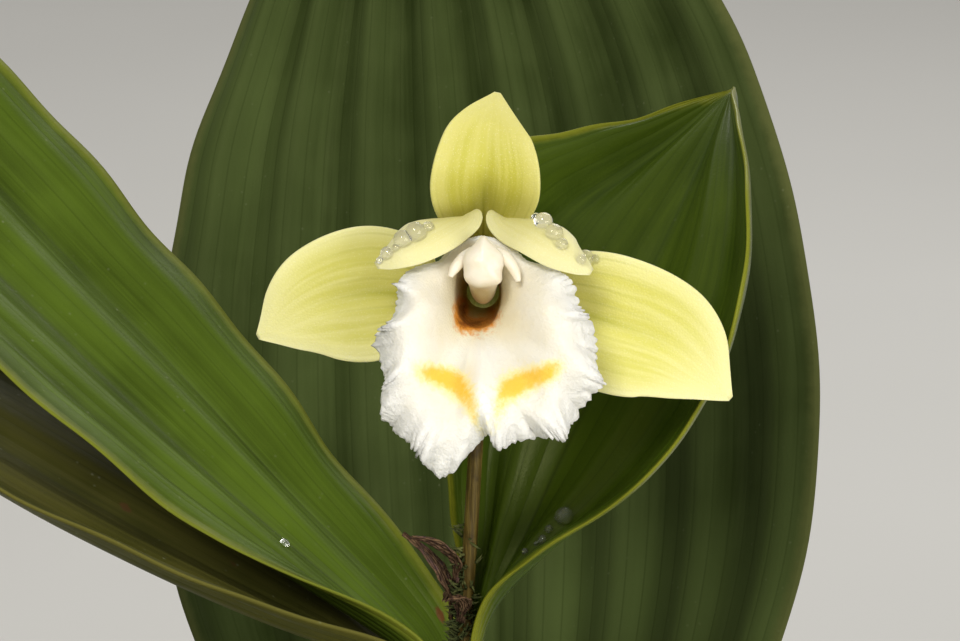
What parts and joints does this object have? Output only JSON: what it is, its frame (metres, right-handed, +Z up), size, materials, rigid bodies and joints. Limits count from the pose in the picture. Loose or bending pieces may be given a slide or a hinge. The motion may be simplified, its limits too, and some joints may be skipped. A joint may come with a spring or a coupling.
{
  "type": "potted sobralia bimaculata",
  "caption": "Leafy cane orchid in a plain terracotta pot, with a pale green and white flower with a frilled lip facing out above pleated leaves.",
  "frame": {"origin": "middle of the pot's flat base, on the surface it stands on", "axes": "+Z up along the pot's axis, -Y toward the side that the flower faces, +X to the right of someone who looks at the flower"},
  "size_m": [0.2838, 0.2488, 0.3627],
  "materials": {
    "pot": "matt terracotta, unglazed",
    "mix": "coarse damp bark mix",
    "rhizome": "dull fibrous skin",
    "cane": "satin, under dry sheaths",
    "leaf": "glossy, leathery, finely veined",
    "leaf_dark": "satin, leathery, deeply pleated",
    "bract": "dry and papery",
    "ovary": "satin",
    "sepal": "satin, with a crystalline sparkle",
    "petal": "satin, with a crystalline sparkle",
    "lip": "matt, crystalline, with yellow and brown markings",
    "column": "waxy"
  },
  "bodies": {
    "root": {"pot": "pot", "soil": "mix", "rhizome": "rhizome", "cane_flowering": "cane", "cane_back": "cane", "cane_left": "cane", "cane_right": "cane", "cane_young": "cane", "leaf_flowering_1": "leaf", "leaf_flowering_2": "leaf", "leaf_flowering_3": "leaf", "leaf_flowering_4": "leaf", "leaf_flowering_5": "leaf", "leaf_flowering_6": "leaf", "leaf_back_1": "leaf_dark", "leaf_back_2": "leaf_dark", "leaf_back_3": "leaf_dark", "leaf_left_1": "leaf", "leaf_left_2": "leaf", "leaf_left_3": "leaf", "leaf_right_1": "leaf", "leaf_right_2": "leaf", "leaf_right_3": "leaf", "leaf_young_1": "leaf", "bract_1": "bract", "bract_2": "bract", "bract_3": "bract", "ovary": "ovary", "dorsal_sepal": "sepal", "lateral_sepal_left": "sepal", "lateral_sepal_right": "sepal", "petal_left": "petal", "petal_right": "petal", "lip": "lip", "column": "column"}
  },
  "joints": []
}
